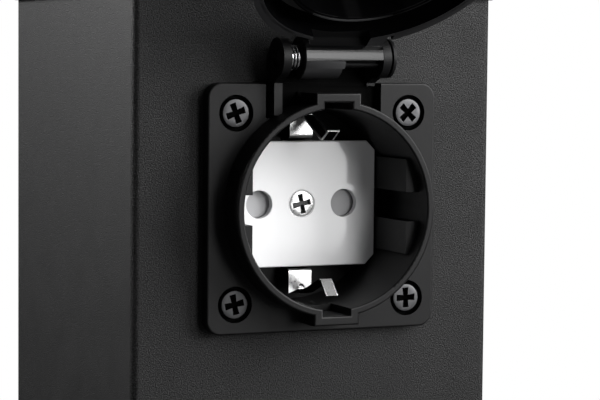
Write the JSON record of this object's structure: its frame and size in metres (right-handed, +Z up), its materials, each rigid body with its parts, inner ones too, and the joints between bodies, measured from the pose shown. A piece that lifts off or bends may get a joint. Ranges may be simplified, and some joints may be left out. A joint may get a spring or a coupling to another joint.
{
  "type": "garden socket post",
  "caption": "Square powder coated garden post on a base plate, with a flanged, shuttered earthed socket outlet under a round hinged lid.",
  "frame": {"origin": "middle of the base plate's underside, where the post stands", "axes": "+Z up along the post, -Y out of the face that holds the outlet, +X to the right seen from in front"},
  "size_m": [0.11, 0.1449, 0.2769],
  "materials": {
    "post_coat": "fine textured powder coat",
    "base_coat": "fine textured powder coat",
    "black_moulding": "fine matt moulding",
    "lid_moulding": "polished moulding",
    "white_moulding": "semi gloss moulding",
    "shutter_moulding": "light grey moulding",
    "carrier_moulding": "glass filled moulding",
    "seal": "soft black seal",
    "nickel": "nickel plated",
    "screw_steel": "zinc plated",
    "brass": "plain brass",
    "spring_steel": "drawn spring wire"
  },
  "bodies": {
    "root": {"post_tube": "post_coat", "base_plate": "base_coat", "base_gasket": "seal", "base_screws": "screw_steel", "cable_grommet": "seal", "relief_bracket": "carrier_moulding", "relief_bracket_screws": "screw_steel", "relief_clamp": "carrier_moulding", "relief_clamp_screws": "screw_steel", "earth_stud": "brass", "earth_nut": "brass", "cap_gasket": "seal", "top_cap": "post_coat", "cap_screws": "screw_steel", "flange_gasket": "seal", "socket_flange": "black_moulding", "flange_screws": "screw_steel", "flange_nuts": "screw_steel", "contact_cover": "white_moulding", "cover_screw": "nickel", "shutter_spring": "spring_steel", "earth_clip": "nickel", "contact_carrier": "carrier_moulding", "line_contact": "brass", "neutral_contact": "brass", "earth_terminal": "brass", "terminal_screws": "screw_steel", "rear_cover": "carrier_moulding", "rear_cover_screws": "screw_steel", "hinge_pin": "screw_steel", "hinge_spring": "spring_steel"},
    "lid": {"lid": "lid_moulding", "lid_gasket": "seal"},
    "shutter": {"shutter": "shutter_moulding"}
  },
  "joints": [
    {"name": "lid_hinge", "type": "hinge", "parent": "root", "child": "lid", "pos_m": [0, -0.0453, 0.238], "axis": [1, 0, 0], "range_deg": [0, 125.75]},
    {"name": "shutter_turn", "type": "hinge", "parent": "root", "child": "shutter", "pos_m": [0, -0.0295, 0.208], "axis": [0, -1, 0], "range_deg": [0, 36], "stiffness_Nm_per_rad": 0.002, "springref_deg": -22.92}
  ]
}
